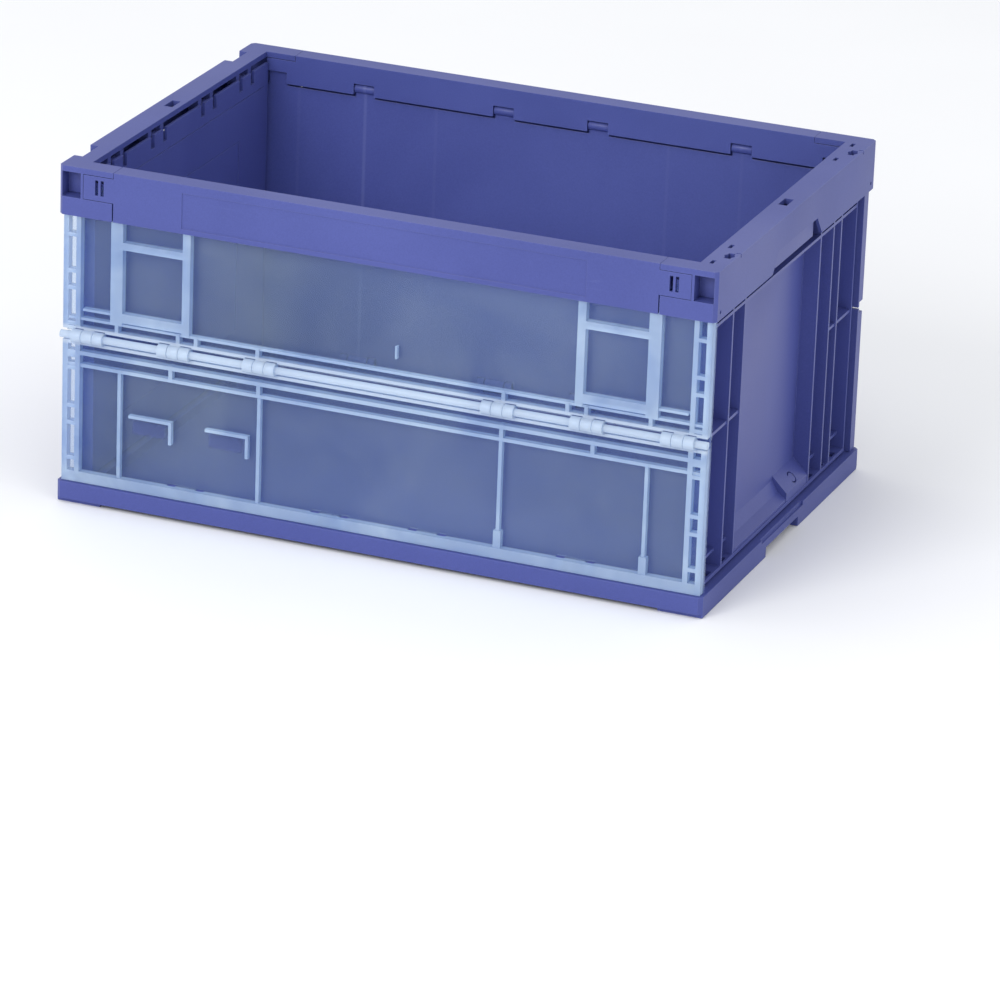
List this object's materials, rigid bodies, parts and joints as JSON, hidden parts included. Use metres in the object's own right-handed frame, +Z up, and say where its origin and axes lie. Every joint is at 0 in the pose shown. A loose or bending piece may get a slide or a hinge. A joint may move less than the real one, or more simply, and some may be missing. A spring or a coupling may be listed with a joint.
{
  "type": "collapsible storage crate",
  "caption": "Rectangular open-top folding crate with a ribbed translucent front wall hinged at mid height, a solid top frame, end walls that swing inward and a shallow base.",
  "frame": {"origin": "centre of the footprint on the resting plane, under the feet", "axes": "+X along the length, -Y is the translucent front wall, +Z up"},
  "size_m": [0.53, 0.3604, 0.272],
  "materials": {
    "blue_plastic": "injection-moulded polypropylene, satin",
    "clear_plastic": "translucent natural polypropylene, satin",
    "pin_plastic": "moulded plastic pin"
  },
  "bodies": {
    "crate_body": {"base": "blue_plastic", "frame_end_left": "blue_plastic", "frame_end_right": "blue_plastic", "frame_beam_front": "blue_plastic", "frame_beam_back": "blue_plastic", "front_wall_upper": "clear_plastic", "front_wall_lower": "clear_plastic", "back_wall_upper": "blue_plastic", "back_wall_lower": "blue_plastic", "front_hinge_rod": "clear_plastic", "back_hinge_rod": "blue_plastic", "front_top_pins": "pin_plastic", "back_top_pins": "pin_plastic", "front_base_pins": "pin_plastic", "back_base_pins": "pin_plastic", "end_pins_left": "pin_plastic", "end_pins_right": "pin_plastic"},
    "left_end": {"end_wall_left": "blue_plastic"},
    "right_end": {"end_wall_right": "blue_plastic"}
  },
  "joints": [
    {"name": "left_end_swing", "type": "hinge", "parent": "crate_body", "child": "left_end", "pos_m": [-0.25, 0, 0.258], "axis": [0, -1, 0], "range_deg": [0, 90]},
    {"name": "right_end_swing", "type": "hinge", "parent": "crate_body", "child": "right_end", "pos_m": [0.25, 0, 0.258], "axis": [0, 1, 0], "range_deg": [0, 90]}
  ]
}
